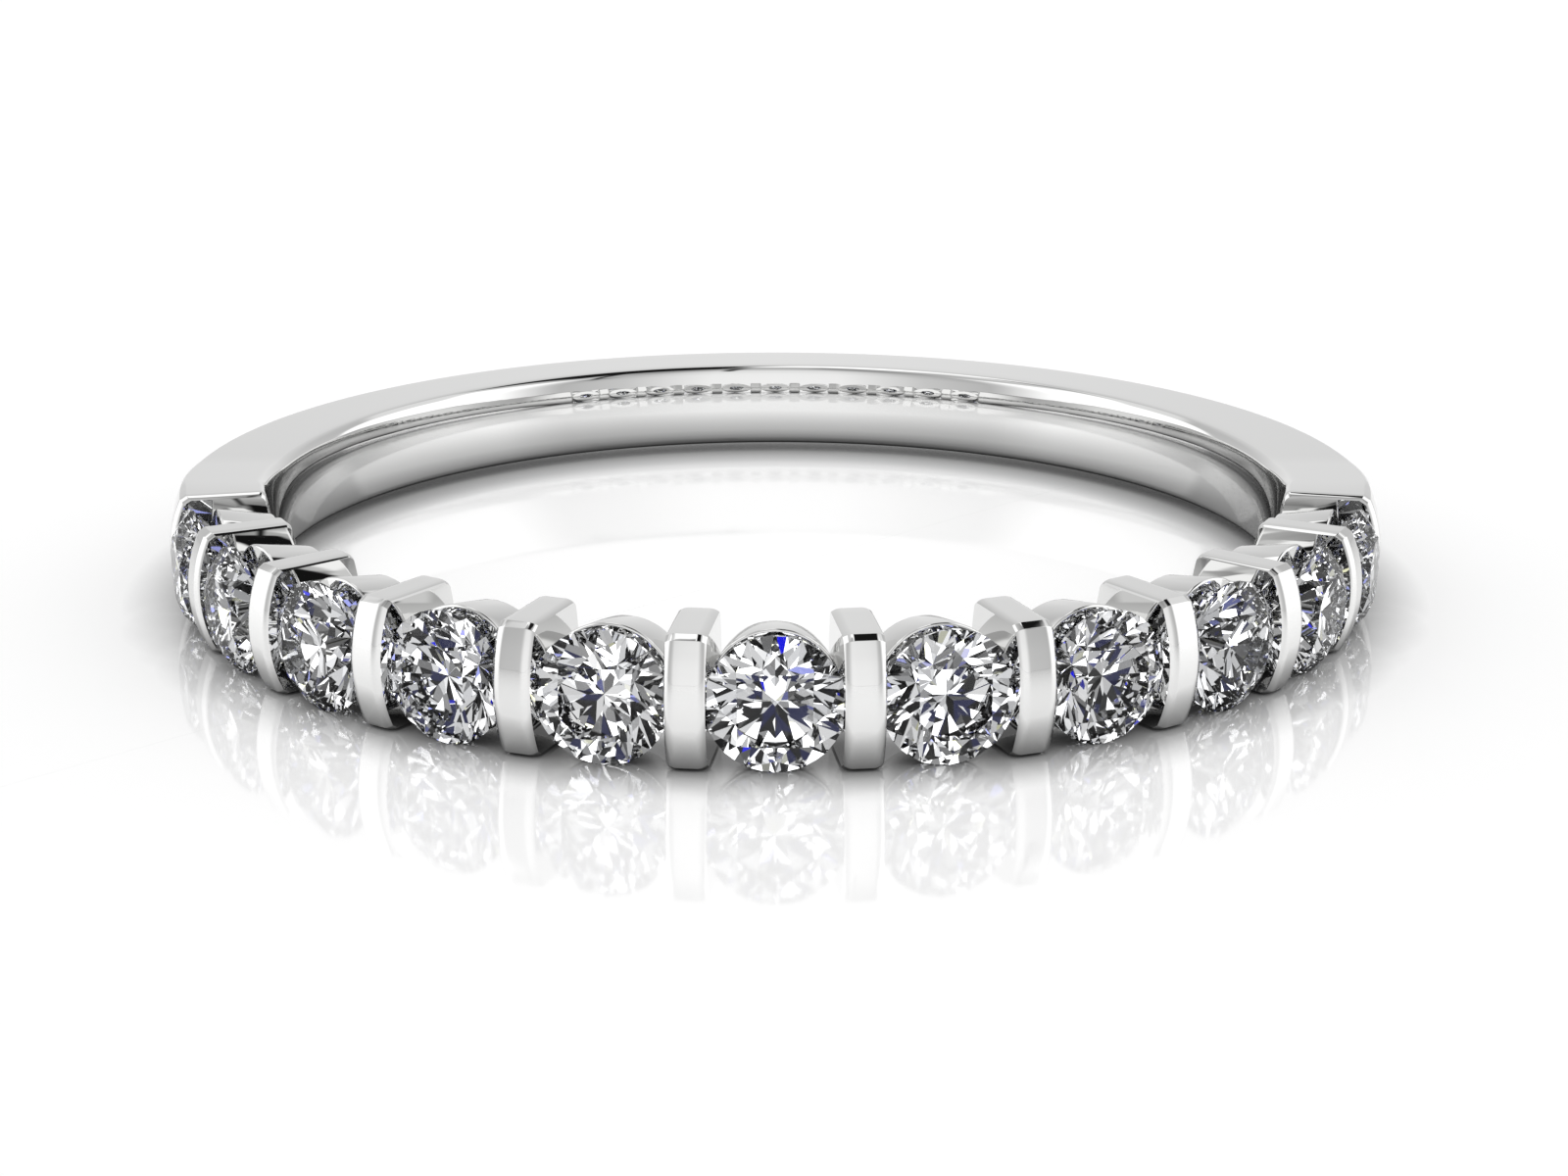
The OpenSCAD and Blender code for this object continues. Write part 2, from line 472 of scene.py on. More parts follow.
@dataclass(frozen=True)
class BandSection:
    """The band's section: comfort curve, level faces, domed outside and rounded edges."""

    sizes: RingSizes
    comfort_steps: int = 10
    edge_steps: int = 5
    face_steps: int = 5
    dome_steps: int = 10

    def outline(self, face_z: Callable[[float], float], edges: EdgePair, inset: Inset) -> list[Pair]:
        """The whole outline, from the middle of the inside over the top and round underneath.

        Args:
            face_z: Height of the upper face at a distance from the finger's axis.
            edges: The worked edges at the finger and at the dome.
            inset: How far the outline is drawn in.

        Returns:
            Each point's distance from the finger's axis and its height.
        """
        s, inner, outer = self.sizes, edges.inner, edges.outer
        comfort, comfort_r = (s.hole_r + s.comfort_r, s.mid_z), s.comfort_r - inset.inner
        dome, dome_r = (s.tip_r - s.dome_r, s.mid_z), s.dome_r - inset.outer
        inner_face = face_z(s.hole_r + inner.size) - inset.face
        outer_face = face_z(s.tip_r - outer.size) - inset.face
        inner_at, inner_bend = self._corner(comfort[0], comfort_r, -1, inner.size, inner_face)
        outer_at, outer_bend = self._corner(dome[0], dome_r, 1, outer.size, outer_face)
        across = spread(inner_at[0], outer_at[0], self.face_steps)[1:-1]
        upper = [
            *arc(comfort, comfort_r, 180, 180 - inner_bend, self.comfort_steps)[:-1],
            *inner.points(inner_at, 180 - inner_bend, 90, self.edge_steps),
            *[(r, face_z(r) - inset.face, 90.0) for r in across],
            *outer.points(outer_at, 90, outer_bend, self.edge_steps),
            *arc(dome, dome_r, outer_bend, 0, self.dome_steps)[1:],
        ]
        lower = [(r, s.width - z) for r, z, _ in reversed(upper[1:-1])]
        return [(r, z) for r, z, _ in upper] + lower

    def _corner(
        self, arc_x: float, arc_r: float, side: int, round_r: float, face: float
    ) -> tuple[Pair, float]:
        """Fits a full rounding between the upper face and one of the section's two big arcs.

        Args:
            arc_x: Distance of the big arc's centre from the finger's axis.
            arc_r: The big arc's radius.
            side: -1 for the comfort curve and 1 for the dome.
            round_r: The rounding's radius.
            face: Height of the upper face.

        Returns:
            The rounding's centre, and the angle above level at which it meets the big arc.
        """
        rise = face - round_r - self.sizes.mid_z
        across = math.sqrt((arc_r - round_r) ** 2 - rise**2)
        bend = math.degrees(math.asin(rise / (arc_r - round_r)))
        return (arc_x + side * across, face - round_r), bend

    def ring(self, station: Station, edges: EdgePair, inset: Inset = Inset()) -> list[Triple]:
        """The outline standing at a station.

        Args:
            station: The plane that it stands in.
            edges: The worked edges at the finger and at the dome.
            inset: How far the outline is drawn in, where an end is being rounded.

        Returns:
            The ring's points.
        """
        outline = self.outline(lambda r: self.sizes.face_z(station.place(r)[1]), edges, inset)
        return [(*station.place(r), z) for r, z in outline]


# Pieces of the band


@dataclass
class RowPiece:
    """A piece that is shaped once, at the middle of the head, and repeated along it."""

    sizes: RingSizes

    @property
    def count(self) -> int:
        """How many there are: one at each stone, unless the piece says otherwise."""
        return self.sizes.stone_count

    def mesh(self) -> Mesh:
        """The piece at the middle of the head, in millimetres."""
        raise NotImplementedError

    def build(self, row: NodeRow, metal: Material) -> Object:
        """Makes the whole row.

        Args:
            row: The tree that repeats a piece about the finger.
            metal: The row's material.

        Returns:
            The row.
        """
        made = add_object(self.mesh())
        step = self.sizes.stone_step
        row.repeat(made, self.count, -(self.count - 1) * step / 2, step, metal)
        return made


@dataclass
class CrossBars(RowPiece):
    """The upright bars that share the stones between them."""

    section: BandSection
    edges: EdgePair = EdgePair(Edge(0.1, 0.09), Edge(0.13, 0.022))
    # The front curves away towards each side face and meets it at a crisp edge
    curve_r: float = 0.22
    curve_end: float = 43.0
    curve_depth: Inset = Inset(inner=0.03, face=0.05, outer=0.06)
    curve_steps: int = 12
    thickness_steps: int = 4

    @property
    def count(self) -> int:
        """One less than the stones, because the two end bars are part of the shank."""
        return self.sizes.stone_count - 1

    def edge_rows(self, share: float = 1.0) -> list[tuple[float, Inset]]:
        """The rings that make the curve from a bar's side face to its flat middle.

        Args:
            share: The share of the curve's depth that is taken.

        Returns:
            Pairs of offset from the bar's middle plane and inset, the offset rising from minus
            half the thickness.
        """
        end = math.radians(self.curve_end)
        rows = []
        for angle in spread(end, 0, self.curve_steps):
            from_side = self.curve_r * (math.sin(end) - math.sin(angle))
            part = (1 - math.cos(angle)) / (1 - math.cos(end))
            rows.append((from_side - self.sizes.bar_t / 2, self.curve_depth.share(part * share)))
        return rows

    def mesh(self) -> Mesh:
        """One bar at the middle of the head, with all its edges worked.

        Returns:
            The bar's mesh, in millimetres.
        """
        near = self.edge_rows()
        inner = spread(near[-1][0], -near[-1][0], self.thickness_steps)[1:-1]
        rows = near + [(offset, Inset()) for offset in inner]
        rows += [(-offset, inset) for offset, inset in reversed(near)]
        rings = [self.section.ring(Station(0.0, offset), self.edges, inset) for offset, inset in rows]
        return mesh_from_rings("cross_bars", rings)


@dataclass
class Shank:
    """The plain shank with its two shoulders and the end bars that they run into."""

    sizes: RingSizes
    section: BandSection
    bars: CrossBars
    edges: EdgePair = EdgePair(Edge(0.2, 0.19), Edge(0.1, 0.09))
    # How much deeper an end bar's front curves than the others', and its rings behind the curve
    curve_share: float = 1.5
    bar_steps: int = 7
    # Distance behind an end bar over which its edges turn into the shank's
    growth: float = 0.5
    # Turn from ring to ring, and from an end bar to the first ring behind it
    step: float = 1.0
    lead: float = 2.2

    def edges_at(self, past_bar: float) -> EdgePair:
        """How the edges change behind an end bar, gently at first and at last.

        Args:
            past_bar: Distance along the shank behind the end bar.

        Returns:
            The worked edges there.
        """
        share = min(max(past_bar / self.growth, 0.0), 1.0)
        return self.bars.edges.towards(self.edges, share * share * (3 - 2 * share))

    def half_rings(self, side: int) -> list[list[Triple]]:
        """Rings of one end bar and its shoulder, up to the first upright radial plane.

        Args:
            side: 1 for the end at +X and -1 for the end at -X.

        Returns:
            The rings, from the bar's front side backwards.
        """
        s = self.sizes
        half = s.bar_t / 2
        rows = self.bars.edge_rows(self.curve_share)
        rows += [(offset, Inset()) for offset in spread(rows[-1][0], half, self.bar_steps)[1:]]
        rings = []
        for offset, inset in rows:
            station = Station(side * s.last_bar, side * offset)
            rings.append(self.section.ring(station, self.edges_at(offset - half), inset))
        return rings

    def mesh(self) -> Mesh:
        """The shank as one closed skin from one end bar round the back to the other.

        Returns:
            The shank's mesh, in millimetres.
        """
        s = self.sizes
        first = s.last_bar + self.lead
        steps = round((360 - 2 * first) / self.step) - 1
        rings = self.half_rings(1)
        for turn in spread(first, 360 - first, steps):
            from_bar = math.radians(min(turn, 360 - turn) - s.last_bar) * s.hole_r
            rings.append(self.section.ring(Station(turn), self.edges_at(from_bar - s.bar_t / 2)))
        return mesh_from_rings("shank", rings + list(reversed(self.half_rings(-1))))


@dataclass
class Cups(RowPiece):
    """The cone-shaped cups behind the stones, which open towards the finger in a light hole."""

    around: int = 96
    foot_round: float = 0.05
    rim_round: float = 0.04
    round_steps: int = 4
    # Radius of the flat middle of the foot and the rim, as a share of the foot's
    core_share: float = 0.2

    def foot_at(self, x: float, up: float) -> float:
        """Distance of the inside of the band along a stone's axis.

        Args:
            x: Sideways distance from the stone's axis.
            up: Height above the middle of the band.

        Returns:
            How far from the finger's axis the comfort curve lies there.
        """
        s = self.sizes
        r = s.hole_r + s.comfort_r - math.sqrt(s.comfort_r**2 - up**2)
        return math.sqrt(r * r - x * x)

    def profile(self) -> list[tuple[float, float, float]]:
        """The cup's outside from the middle of its foot to the middle of its rim.

        Returns:
            Each point's distance from the stone's axis, its height over the foot's curved face,
            and the share of that face's curve that it still follows.
        """
        s = self.sizes
        foot_r, rim_r = s.cup_foot_d / 2 - self.foot_round, s.cup_rim_d / 2 - self.rim_round
        core, depth = self.core_share * s.cup_foot_d / 2, s.cup_rim_r - s.hole_r
        foot = arc((foot_r, self.foot_round), self.foot_round, -90, 0, self.round_steps)
        rim = arc((rim_r, depth - self.rim_round), self.rim_round, 0, 90, self.round_steps)
        return [
            (core, 0.0, 1.0),
            *[(out, height, 1.0) for out, height, _ in foot],
            *[(out, height, 0.0) for out, height, _ in rim],
            (core, depth, 0.0),
        ]

    def mesh(self) -> Mesh:
        """One cup at the middle of the head, without its seat and light hole.

        Returns:
            The cup's mesh, in millimetres.
        """
        s = self.sizes
        rings = []
        for out, height, follow in self.profile():
            ring = []
            for x, up in round_axis(out, self.around):
                sag = (self.foot_at(x, up) - s.hole_r) * follow
                ring.append((x, -(s.hole_r + sag + height), s.mid_z + up))
            rings.append(ring)
        return mesh_from_rings("cups", rings)


@dataclass
class StoneRooms(RowPiece):
    """What is cut from the metal for the stones: grooves in the bars, seats and light holes."""

    around: int = 96
    # How far the light hole is cut past the inside of the band, and the bevel at its mouth
    past: float = 1.0
    hole_chamfer: float = 0.04
    # Radius of the room's blunt tip
    apex_r: float = 0.01

    def mesh(self) -> Mesh:
        """One room at the middle of the head, as a body of revolution about the stone's axis.

        Returns:
            The room's mesh, in millimetres.
        """
        s = self.sizes
        hole, room = s.cup_hole_d / 2, s.room_r
        seat = (room - hole) * math.tan(math.radians(s.pavilion_angle))
        girdle = s.girdle_r - s.girdle_t
        profile = [
            (hole + self.hole_chamfer, s.hole_r - self.past),
            (hole + self.hole_chamfer, s.hole_r),
            (hole, s.hole_r + self.hole_chamfer),
            (hole, girdle - seat),
            (room, girdle),
            (room, s.girdle_r),
            (self.apex_r, s.girdle_r + (room - self.apex_r) * math.tan(math.radians(s.crown_angle))),
        ]
        rings = [
            [(x, -along, s.mid_z + up) for x, up in round_axis(out, self.around)]
            for out, along in profile
        ]
        return mesh_from_rings("stone_rooms", rings)


@dataclass
class Band:
    """The whole band, one piece of metal: shank, end bars, cross bars and cups."""

    sizes: RingSizes
    crease: float = 32.0

    def build(self, metal: Material) -> None:
        """Makes the pieces, fuses them, cuts the stones' rooms and hands the band to the frame.

        Args:
            metal: The band's material.
        """
        section = BandSection(self.sizes)
        row = NodeRow()
        bars = CrossBars(self.sizes, section)
        band = add_object(Shank(self.sizes, section, bars).mesh(), metal)
        report(band)
        for part, how in (
            (bars, Fuse.JOIN),
            (Cups(self.sizes), Fuse.JOIN),
            (StoneRooms(self.sizes), Fuse.CUT),
        ):
            piece = part.build(row, metal)
            report(piece)
            fuse(band, piece, how)
        band.name = band.data.name = "polished_band"
        band.data.transform(Matrix.Scale(MM, 4))
        self.shade(band)
        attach(band, "root")
        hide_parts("band")
        report(band)

    def shade(self, band: Object) -> None:
        """Gives the band smooth faces with crisp creases, flat where a face is flat.

        Args:
            band: The fused band.
        """
        band.data.shade_smooth()
        band.data.set_sharp_from_angle(angle=math.radians(self.crease))
        weighted = band.modifiers.new("even shading", "WEIGHTED_NORMAL")
        weighted.keep_sharp = True
        settle(band)


@dataclass
class Stones:
    """The row of cut stones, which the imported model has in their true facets."""

    prefix: str = "stone_"

    @property
    def names(self) -> list[str]:
        """The stones' nodes, from the left end of the head to the right."""
        return sorted(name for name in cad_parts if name.startswith(self.prefix))

    def dress(self, stone: Material) -> None:
        """Gives each stone its finish.

        Args:
            stone: The stones' material.
        """
        for name in self.names:
            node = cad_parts[name]
            node.material_slots[0].material = stone
            report(node)


# Finishes


class Maths(Enum):
    """What a Math node works out."""

    SUBTRACT = "SUBTRACT"
    MULTIPLY = "MULTIPLY"
    DIVIDE = "DIVIDE"
    MULTIPLY_ADD = "MULTIPLY_ADD"
    POWER = "POWER"
    MAXIMUM = "MAXIMUM"
    ABSOLUTE = "ABSOLUTE"
    GREATER_THAN = "GREATER_THAN"
    SINE = "SINE"
    COSINE = "COSINE"
    ARCSINE = "ARCSINE"
    ARCTAN2 = "ARCTAN2"


class Blend(Enum):
    """How two colours are put together."""

    MIX = "MIX"
    MULTIPLY = "MULTIPLY"


class Run(Enum):
    """How a colour ramp runs between its stops."""

    STRAIGHT = "LINEAR"
    EASED = "EASE"


class Wiring:
    """Adds nodes to a material's or the world's tree and joins them."""

    def __init__(self, owner: Material | World) -> None:
        """Clears the owner's tree and starts on it.

        Args:
            owner: The material or world.
        """
        owner.use_nodes = True
        self.tree = owner.node_tree
        self.tree.nodes.clear()

    def node(self, kind: str, **settings: object) -> Node:
        """Adds a node.

        Args:
            kind: The node's type.
            **settings: Values of the node's own properties.

        Returns:
            The node.
        """
        made = self.tree.nodes.new(kind)
        for name, value in settings.items():
            setattr(made, name, value)
        return made

    def feed(self, target: Socket, value: object) -> None:
        """Sets an input to a value, or links another node's output to it.

        Args:
            target: The input.
            value: The value or output.
        """
        if isinstance(value, Socket):
            self.tree.links.new(value, target)
        else:
            target.default_value = value

    def fed(self, kind: str, inputs: Inputs, **settings: object) -> Socket:
        """Adds a node whose inputs are set or linked.

        Args:
            kind: The node's type.
            inputs: Values and other nodes' outputs, by the input's name or number.
            **settings: Values of the node's own properties.

        Returns:
            The node's first output.
        """
        made = self.node(kind, **settings)
        for key, value in inputs.items():
            self.feed(made.inputs[key], value)
        return made.outputs[0]

    def maths(self, operation: Maths, *values: object) -> Socket:
        """Works out a number from other numbers, or from other nodes' outputs."""
        return self.fed("ShaderNodeMath", dict(enumerate(values)), operation=operation.value)

    def between(
        self, value: Socket, low: float, high: float, start: float = 0.0, end: float = 1.0
    ) -> Socket:
        """A smooth step from start to end as a value goes from low to high."""
        ends = {"Value": value, "From Min": low, "From Max": high, "To Min": start, "To Max": end}
        return self.fed("ShaderNodeMapRange", ends, interpolation_type="SMOOTHSTEP")

    def mix(self, share: object, first: object, second: object, way: Blend = Blend.MIX) -> Socket:
        """Puts two colours together.

        Args:
            share: How much of the second is taken.
            first: A colour, or another node's output.
            second: A colour, or another node's output.
            way: How they are put together.

        Returns:
            The colour that they make.
        """
        made = self.node("ShaderNodeMix", data_type="RGBA", blend_type=way.value)
        colours = [socket for socket in made.inputs if socket.type == "RGBA"]
        for socket, value in zip((made.inputs[0], *colours), (share, first, second)):
            self.feed(socket, value)
        return next(socket for socket in made.outputs if socket.type == "RGBA")

    def times(self, first: object, second: object) -> Socket:
        """One colour multiplied by another."""
        return self.mix(1.0, first, second, Blend.MULTIPLY)

    def choose(self, share: object, first: Socket, second: Socket) -> Socket:
        """Mixes two shaders, with that share of the second."""
        return self.fed("ShaderNodeMixShader", {0: share, 1: first, 2: second})

    def in_mm(self) -> Socket:
        """The place on the object, in millimetres."""
        place = self.node("ShaderNodeTexCoord").outputs["Object"]
        return self.fed("ShaderNodeMapping", {"Vector": place, "Scale": (1 / MM,) * 3})

    def noise(self, place: Socket, scale: float, detail: float) -> Socket:
        """A soft random pattern of that scale and depth of detail."""
        return self.fed("ShaderNodeTexNoise", {"Vector": place, "Scale": scale, "Detail": detail})

    def end(self, shader: Socket, kind: str = "ShaderNodeOutputMaterial") -> None:
        """Joins a shader to the tree's own output, of that type."""
        self.feed(self.node(kind).inputs["Surface"], shader)

    def from_stone(self) -> Socket:
        """1 for light that has passed through a stone, and 0 for all other light."""
        path = self.node("ShaderNodeLightPath")
        return self.maths(Maths.GREATER_THAN, path.outputs["Transmission Depth"], 0.5)

    def ramp(self, value: Socket, stops: Sequence[Pair], run: Run = Run.STRAIGHT) -> Socket:
        """A ramp of greys.

        Args:
            value: What it is read at, from 0 to 1.
            stops: Each stop's place and value, in rising order of place.
            run: How it runs between stops.

        Returns:
            The grey.
        """
        made = self.node("ShaderNodeValToRGB")
        band = made.color_ramp
        band.interpolation = run.value
        for place, _ in stops[1:-1]:
            band.elements.new(place)
        for element, (place, tone) in zip(band.elements, stops):
            element.position = place
            element.color = grey(tone)
        self.feed(made.inputs[0], value)
        return made.outputs[0]


@dataclass(frozen=True)
class PolishedWhiteMetal:
    """Mirror-polished white gold, with the faintest haze and hairlines of a buffing wheel."""

    colour: Colour = (0.80, 0.80, 0.795, 1.0)
    haze_per_mm: float = 2.2
    haze_detail: float = 3.0
    # The pattern's own range, and the roughness at its two ends
    haze_range: Pair = (0.3, 0.7)
    haze_roughness: Pair = (0.004, 0.02)
    hairlines_per_mm: float = 26.0
    hairline_detail: float = 2.0
    hairline_stretch: float = 18.0
    hairline_turn: Triple = (0.3, 0.2, 0.0)
    # Depth in metres
    hairline_depth: float = 0.0000004
    hairline_strength: float = 0.12

    def material(self) -> Material:
        """Builds the material.

        Returns:
            The material.
        """
        made = bpy.data.materials.new("polished white gold")
        w = Wiring(made)
        place = w.in_mm()
        haze = w.noise(place, self.haze_per_mm, self.haze_detail)
        drawn_out = {
            "Vector": place,
            "Scale": (1.0, 1.0, self.hairline_stretch),
            "Rotation": self.hairline_turn,
        }
        lines = w.noise(
            w.fed("ShaderNodeMapping", drawn_out),
            self.hairlines_per_mm / self.hairline_stretch,
            self.hairline_detail,
        )
        buffed = {"Height": lines, "Strength": self.hairline_strength, "Distance": self.hairline_depth}
        polish = {
            "Base Color": self.colour,
            "Metallic": 1.0,
            "Roughness": w.between(haze, *self.haze_range, *self.haze_roughness),
            "Normal": w.fed("ShaderNodeBump", buffed),
        }
        w.end(w.fed("ShaderNodeBsdfPrincipled", polish))
        return made


@dataclass(frozen=True)
class CutStone:
    """A colourless brilliant, clear and strongly refracting, with the faintest cloud in it."""

    ior: float = 2.417
    front_shine: Colour = (0.06, 0.06, 0.06, 1.0)
    clear: Colour = (1.0, 1.0, 1.0, 1.0)
    cloud: Colour = (0.93, 0.945, 0.975, 1.0)
    clouds_per_mm: float = 1.6
    cloud_detail: float = 2.0
    # The pattern's values at which it is quite clear and quite cloudy
    cloud_range: Pair = (0.35, 0.65)

    def material(self) -> Material:
        """Builds the material.

        Returns:
            The material.
        """
        made = bpy.data.materials.new("colourless brilliant")
        w = Wiring(made)
        clouds = w.noise(w.in_mm(), self.clouds_per_mm, self.cloud_detail)
        crystal = {
            "Base Color": w.mix(w.between(clouds, *self.cloud_range), self.clear, self.cloud),
            "Roughness": 0.0,
            "IOR": self.ior,
            "Specular Tint": self.front_shine,
            "Transmission Weight": 1.0,
        }
        w.end(w.fed("ShaderNodeBsdfPrincipled", crystal))
        return made


@dataclass(frozen=True)
class GlossyWhiteSurface:
    """A sheet of white acrylic, faintly lit from below, with a painted shade on its colour and glow
    close to what stands on it.

    Light that comes out of a stone passes through it, so the stones gather the light of a whole
    round tent, as in a jeweller's light box. What the metal mirrors of the sheet gets a deeper
    painted shade than what the camera sees, and inside the ring a further painted shade by distance
    from the finger's axis.
    """

    colour: Colour = (0.76, 0.76, 0.76, 1.0)
    glow: float = 0.5
    roughness: float = 0.06
    # The share that the camera sees mirrored, from steeply above and at a low angle, and the
    # Fresnel shares at 45 and 60 degrees, between which the one turns into the other
    shown_share: Pair = (0.05, 0.22)
    shown_range: Pair = (0.0502, 0.0892)
    ior: float = 1.5
    # How far the painted shade reaches, and how deep the camera and the metal see it
    shadow_reach: float = 1.05
    shadow_depth: float = 1.05
    mirrored_depth: float = 1.6
    # Distance from the finger's axis, and the share of the light that the painted shade inside the ring
    # leaves there
    inside: tuple[Pair, ...] = ((5.4, 1.0), (8.2, 0.46), (8.9, 0.46), (9.6, 1.0))
    # Where the ramp of these shares ends
    inside_to: float = 12.0

    def material(self) -> Material:
        """Builds the material.

        Returns:
            The material.
        """
        made = bpy.data.materials.new("white acrylic")
        w = Wiring(made)
        seen = w.node("ShaderNodeLightPath").outputs["Is Camera Ray"]
        # Painted shade: an ambient occlusion share darkens the sheet's colour and glow close to the
        # ring, deeper in what the metal mirrors
        nearness = w.node("ShaderNodeAmbientOcclusion")
        nearness.inputs["Distance"].default_value = self.shadow_reach * MM
        depth = w.mix(seen, grey(self.mirrored_depth), grey(self.shadow_depth))
        open_share = w.maths(Maths.POWER, nearness.outputs["AO"], depth)
        # Inside the ring, what the metal mirrors of the sheet gets a further painted shade by distance
        # from the finger's axis
        shade = w.times(open_share, w.mix(seen, self._painted_inside_shade(w), grey(1.0)))
        matt = w.fed("ShaderNodeBsdfDiffuse", {"Color": w.times(shade, self.colour)})
        lit = w.fed("ShaderNodeEmission", {"Color": shade, "Strength": self.glow})
        gloss = w.fed("ShaderNodeBsdfGlossy", {"Color": grey(1.0), "Roughness": self.roughness})
        fresnel = w.fed("ShaderNodeFresnel", {"IOR": self.ior})
        shown = w.between(fresnel, *self.shown_range, *self.shown_share)
        white = w.fed("ShaderNodeAddShader", {0: matt, 1: lit})
        acrylic = w.choose(w.mix(seen, fresnel, shown), white, gloss)
        clear = w.fed("ShaderNodeBsdfTransparent", {})
        w.end(w.choose(w.from_stone(), acrylic, clear))
        return made

    def _painted_inside_shade(self, w: Wiring) -> Socket:
        """The painted shade that the sheet takes inside the ring, by distance from the finger's axis.

        Args:
            w: The material's wiring.

        Returns:
            The share of the light that the painted shade leaves at each place.
        """
        out = w.node("ShaderNodeVectorMath", operation="LENGTH")
        w.feed(out.inputs[0], w.in_mm())
        place = w.maths(Maths.DIVIDE, out.outputs["Value"], self.inside_to)
        return w.ramp(place, [(r / self.inside_to, left) for r, left in self.inside])


# Studio


@dataclass(frozen=True)
class Card:
    """A soft-edged light or dark card on the tent over the ring.

    Places are on the tent laid flat: the point overhead is (0, 0), the floor's edge is at 1, +X is
    to the right and +Y towards the camera. Soft is half the width over which an edge fades.
    """

    centre: Pair
    half: Pair
    turn: float
    value: float
    soft: float = 0.012


@dataclass
class LightTent:
    """The light round the ring: a white tent, brightest at both sides, with cards overhead."""

    # Azimuth from the camera's side, and brightness there
    wall: tuple[Pair, ...] = (
        (0, 1.08), (16, 1.06), (25, 0.92), (38, 0.7), (55, 0.58), (62, 0.8),
        (120, 1.05), (129, 0.63), (150, 0.67), (162, 0.77), (180, 0.88),
    )
    # The two long lamps at the sides: their near edge and its softness, their far edge, top and
    # those edges' softness, and the brightness
    side_from: float = 67.5
    side_fade: float = 9.0
    side_to: float = 125.0
    side_top: float = 55.0
    side_soft: float = 2.5
    side_value: float = 1.35
    # Elevation, and the share of the wall's brightness that is left there
    fading: tuple[Pair, ...] = (
        (0, 1.0), (10, 0.98), (26, 0.92), (52, 0.86), (62, 0.66), (72, 0.55), (90, 0.4),
    )
    cards: tuple[Card, ...] = (
        Card((-0.37, -0.37), (0.17, 0.09), -20, 0.88, 0.03),
        Card((0.36, -0.34), (0.18, 0.11), 22, 0.88, 0.03),
        Card((-0.07, -0.22), (0.11, 0.14), 0, 1.35),
        Card((-0.2, -0.14), (0.06, 0.06), 0, 0.85, 0.03),
        Card((-0.01, -0.08), (0.035, 0.05), 0, 1.2),
        Card((0.145, -0.14), (0.12, 0.21), -12, 0.01, 0.02),
        Card((0.345, 0.21), (0.26, 0.013), 55, 0.02),
        Card((0.44, 0.37), (0.05, 0.05), 50, 0.3, 0.03),
        Card((0.08, 0.25), (0.013, 0.2), -10, 0.08),
    )
    # Fineness of the stones' lights and gaps, and how bright the darkest to the lightest are
    sparkle_size: float = 3.3
    sparkle: tuple[Pair, ...] = (
        (0.0, 0.0), (0.13, 0.012), (0.25, 0.038), (0.39, 0.09), (0.53, 0.19), (0.66, 0.33),
        (0.775, 0.54), (0.86, 0.8), (1.0, 2.3),
    )
    # How far the stones part blue from the other colours, and how strongly that shows
    fire: Triple = (0.004, 0.002, -0.004)
    fire_strength: float = 0.35
    blue_share: float = 0.1
    blue: Colour = (0.42, 0.45, 0.96, 1.0)
    backdrop: float = 1.1

    def build(self) -> None:
        """Makes the tent the scene's world."""
        world = bpy.data.worlds.new("light tent")
        bpy.context.scene.world = world
        w = Wiring(world)
        direction = w.node("ShaderNodeTexCoord").outputs["Generated"]
        tent, sparkle, backdrop = (
            w.fed("ShaderNodeBackground", {"Color": colour})
            for colour in (self._tent(w, direction), self._sparkle(w, direction), grey(self.backdrop))
        )
        seen = w.node("ShaderNodeLightPath").outputs["Is Camera Ray"]
        gathered = w.choose(w.from_stone(), tent, sparkle)
        w.end(w.choose(seen, gathered, backdrop), "ShaderNodeOutputWorld")

    def _tent(self, w: Wiring, direction: Socket) -> Socket:
        """The tent's walls and roof with their cards.

        Args:
            w: The world's wiring.
            direction: Where a ray looks.

        Returns:
            The tent's colour there.
        """
        split = w.node("ShaderNodeSeparateXYZ")
        w.feed(split.inputs[0], direction)
        x, y, z = split.outputs
        high = w.maths(Maths.MAXIMUM, w.maths(Maths.DIVIDE, w.maths(Maths.ARCSINE, z), math.pi / 2), 0.0)
        azimuth = w.maths(Maths.ARCTAN2, x, w.maths(Maths.MULTIPLY, y, -1.0))
        round_share = w.maths(Maths.DIVIDE, w.maths(Maths.ABSOLUTE, azimuth), math.pi)
        wall = w.ramp(round_share, [(turn / 180, value) for turn, value in self.wall])
        left = w.ramp(high, [(rise / 90, share) for rise, share in self.fading], Run.EASED)
        colour = w.times(wall, left)
        colour = w.mix(self._side_lamps(w, round_share, high), colour, grey(self.side_value))
        out = w.maths(Maths.SUBTRACT, 1.0, high)
        flat_x = w.maths(Maths.MULTIPLY, out, w.maths(Maths.SINE, azimuth))
        flat_y = w.maths(Maths.MULTIPLY, out, w.maths(Maths.COSINE, azimuth))
        for card in self.cards:
            colour = w.mix(self._mask(w, card, flat_x, flat_y), colour, grey(card.value))
        return colour

    def _side_lamps(self, w: Wiring, round_share: Socket, high: Socket) -> Socket:
        """Where the lamps at the sides stand.

        Args:
            w: The world's wiring.
            round_share: Azimuth from the camera's side, from 0 to 1 behind the ring.
            high: Elevation, from 0 to 1 overhead.

        Returns:
            1 on the lamps and 0 off them.
        """
        edges = (
            (round_share, 180, self.side_from, self.side_fade),
            (round_share, 180, self.side_to, -self.side_soft),
            (high, 90, self.side_top, -self.side_soft),
        )
        masks = [
            w.between(place, (edge - soft) / full, (edge + soft) / full)
            for place, full, edge, soft in edges
        ]
        return w.maths(Maths.MULTIPLY, w.maths(Maths.MULTIPLY, masks[0], masks[1]), masks[2])

